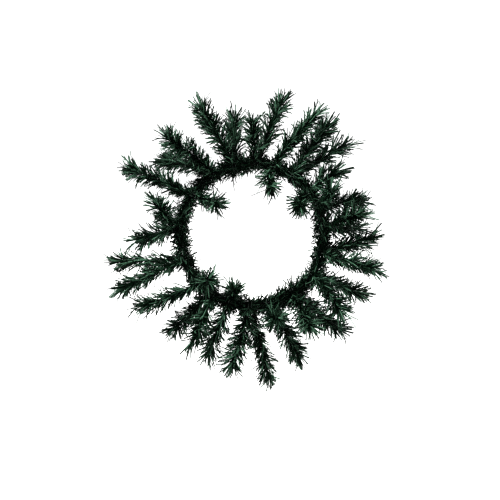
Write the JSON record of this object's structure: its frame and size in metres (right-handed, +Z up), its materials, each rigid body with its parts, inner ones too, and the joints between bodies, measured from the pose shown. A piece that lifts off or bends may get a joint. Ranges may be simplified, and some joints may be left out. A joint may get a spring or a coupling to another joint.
{
  "type": "wreath frame",
  "caption": "Round artificial-pine wreath frame: a steel hoop wound with a needle garland and wrapped with pairs of bendable branch tips, hung by its ring and decorated.",
  "frame": {"origin": "where a hook or nail holds the wreath: on the ring's centre plane, under the top of the wound ring", "axes": "+Z up, +X to the right as seen from the front, -Y out of the wreath's front, so the ring stands in the XZ plane"},
  "size_m": [0.3304, 0.1016, 0.3581],
  "materials": {
    "ring_steel": "satin",
    "twisted_wire": "satin",
    "garland_needles": "matte",
    "branch_needles": "matte"
  },
  "bodies": {
    "ring": {"ring_wire": "ring_steel", "ring_garland_wire": "twisted_wire", "ring_garland_needles": "garland_needles"},
    "branch_01": {"branch_01_wire": "twisted_wire", "branch_01_needles_a": "branch_needles", "branch_01_needles_b": "branch_needles"},
    "branch_02": {"branch_02_wire": "twisted_wire", "branch_02_needles_a": "branch_needles", "branch_02_needles_b": "branch_needles"},
    "branch_03": {"branch_03_wire": "twisted_wire", "branch_03_needles_a": "branch_needles", "branch_03_needles_b": "branch_needles"},
    "branch_04": {"branch_04_wire": "twisted_wire", "branch_04_needles_a": "branch_needles", "branch_04_needles_b": "branch_needles"},
    "branch_05": {"branch_05_wire": "twisted_wire", "branch_05_needles_a": "branch_needles", "branch_05_needles_b": "branch_needles"},
    "branch_06": {"branch_06_wire": "twisted_wire", "branch_06_needles_a": "branch_needles", "branch_06_needles_b": "branch_needles"},
    "branch_07": {"branch_07_wire": "twisted_wire", "branch_07_needles_a": "branch_needles", "branch_07_needles_b": "branch_needles"},
    "branch_08": {"branch_08_wire": "twisted_wire", "branch_08_needles_a": "branch_needles", "branch_08_needles_b": "branch_needles"},
    "branch_09": {"branch_09_wire": "twisted_wire", "branch_09_needles_a": "branch_needles", "branch_09_needles_b": "branch_needles"},
    "branch_10": {"branch_10_wire": "twisted_wire", "branch_10_needles_a": "branch_needles", "branch_10_needles_b": "branch_needles"},
    "branch_11": {"branch_11_wire": "twisted_wire", "branch_11_needles_a": "branch_needles", "branch_11_needles_b": "branch_needles"},
    "branch_12": {"branch_12_wire": "twisted_wire", "branch_12_needles_a": "branch_needles", "branch_12_needles_b": "branch_needles"},
    "branch_13": {"branch_13_wire": "twisted_wire", "branch_13_needles_a": "branch_needles", "branch_13_needles_b": "branch_needles"},
    "branch_14": {"branch_14_wire": "twisted_wire", "branch_14_needles_a": "branch_needles", "branch_14_needles_b": "branch_needles"},
    "branch_15": {"branch_15_wire": "twisted_wire", "branch_15_needles_a": "branch_needles", "branch_15_needles_b": "branch_needles"},
    "branch_16": {"branch_16_wire": "twisted_wire", "branch_16_needles_a": "branch_needles", "branch_16_needles_b": "branch_needles"},
    "branch_17": {"branch_17_wire": "twisted_wire", "branch_17_needles_a": "branch_needles", "branch_17_needles_b": "branch_needles"},
    "branch_18": {"branch_18_wire": "twisted_wire", "branch_18_needles_a": "branch_needles", "branch_18_needles_b": "branch_needles"},
    "branch_19": {"branch_19_wire": "twisted_wire", "branch_19_needles_a": "branch_needles", "branch_19_needles_b": "branch_needles"}
  },
  "joints": [
    {"name": "branch_01_swivel", "type": "hinge", "parent": "ring", "child": "branch_01", "pos_m": [0.08354, 0, -0.06722], "axis": [0.1045, 0, -0.9945], "range_deg": [-20, 20]},
    {"name": "branch_02_swivel", "type": "hinge", "parent": "ring", "child": "branch_02", "pos_m": [0.07674, 0, -0.04183], "axis": [0.4067, 0, -0.9135], "range_deg": [-20, 20]},
    {"name": "branch_03_swivel", "type": "hinge", "parent": "ring", "child": "branch_03", "pos_m": [0.06709, 0, -0.02545], "axis": [0.6018, 0, -0.7986], "range_deg": [-20, 20]},
    {"name": "branch_04_swivel", "type": "hinge", "parent": "ring", "child": "branch_04", "pos_m": [0.04818, 0, -0.00719], "axis": [0.8192, 0, -0.5736], "range_deg": [-20, 20]},
    {"name": "branch_05_swivel", "type": "hinge", "parent": "ring", "child": "branch_05", "pos_m": [0.02456, 0, 0.00433], "axis": [0.9563, 0, -0.2924], "range_deg": [-20, 20]},
    {"name": "branch_06_swivel", "type": "hinge", "parent": "ring", "child": "branch_06", "pos_m": [0.00586, 0, 0.00779], "axis": [0.9976, 0, -0.0698], "range_deg": [-20, 20]},
    {"name": "branch_07_swivel", "type": "hinge", "parent": "ring", "child": "branch_07", "pos_m": [-0.02032, 0, 0.00551], "axis": [0.9703, 0, 0.2419], "range_deg": [-20, 20]},
    {"name": "branch_08_swivel", "type": "hinge", "parent": "ring", "child": "branch_08", "pos_m": [-0.04697, 0, -0.00636], "axis": [0.829, 0, 0.5592], "range_deg": [-20, 20]},
    {"name": "branch_09_swivel", "type": "hinge", "parent": "ring", "child": "branch_09", "pos_m": [-0.06964, 0, -0.02903], "axis": [0.5592, 0, 0.829], "range_deg": [-20, 20]},
    {"name": "branch_10_swivel", "type": "hinge", "parent": "ring", "child": "branch_10", "pos_m": [-0.08354, 0, -0.06722], "axis": [0.1045, 0, 0.9945], "range_deg": [-20, 20]},
    {"name": "branch_11_swivel", "type": "hinge", "parent": "ring", "child": "branch_11", "pos_m": [-0.07942, 0, -0.10335], "axis": [-0.3256, 0, 0.9455], "range_deg": [-20, 20]},
    {"name": "branch_12_swivel", "type": "hinge", "parent": "ring", "child": "branch_12", "pos_m": [-0.06242, 0, -0.13221], "axis": [-0.6691, 0, 0.7431], "range_deg": [-20, 20]},
    {"name": "branch_13_swivel", "type": "hinge", "parent": "ring", "child": "branch_13", "pos_m": [-0.04697, 0, -0.14564], "axis": [-0.829, 0, 0.5592], "range_deg": [-20, 20]},
    {"name": "branch_14_swivel", "type": "hinge", "parent": "ring", "child": "branch_14", "pos_m": [-0.02596, 0, -0.15589], "axis": [-0.9511, 0, 0.309], "range_deg": [-20, 20]},
    {"name": "branch_15_swivel", "type": "hinge", "parent": "ring", "child": "branch_15", "pos_m": [-0.00147, 0, -0.15999], "axis": [-0.9998, 0, 0.0175], "range_deg": [-20, 20]},
    {"name": "branch_16_swivel", "type": "hinge", "parent": "ring", "child": "branch_16", "pos_m": [0.02032, 0, -0.15751], "axis": [-0.9703, 0, -0.2419], "range_deg": [-20, 20]},
    {"name": "branch_17_swivel", "type": "hinge", "parent": "ring", "child": "branch_17", "pos_m": [0.04937, 0, -0.14396], "axis": [-0.809, 0, -0.5878], "range_deg": [-20, 20]},
    {"name": "branch_18_swivel", "type": "hinge", "parent": "ring", "child": "branch_18", "pos_m": [0.07124, 0, -0.12051], "axis": [-0.5299, 0, -0.848], "range_deg": [-20, 20]},
    {"name": "branch_19_swivel", "type": "hinge", "parent": "ring", "child": "branch_19", "pos_m": [0.08185, 0, -0.0949], "axis": [-0.225, 0, -0.9744], "range_deg": [-20, 20]}
  ]
}
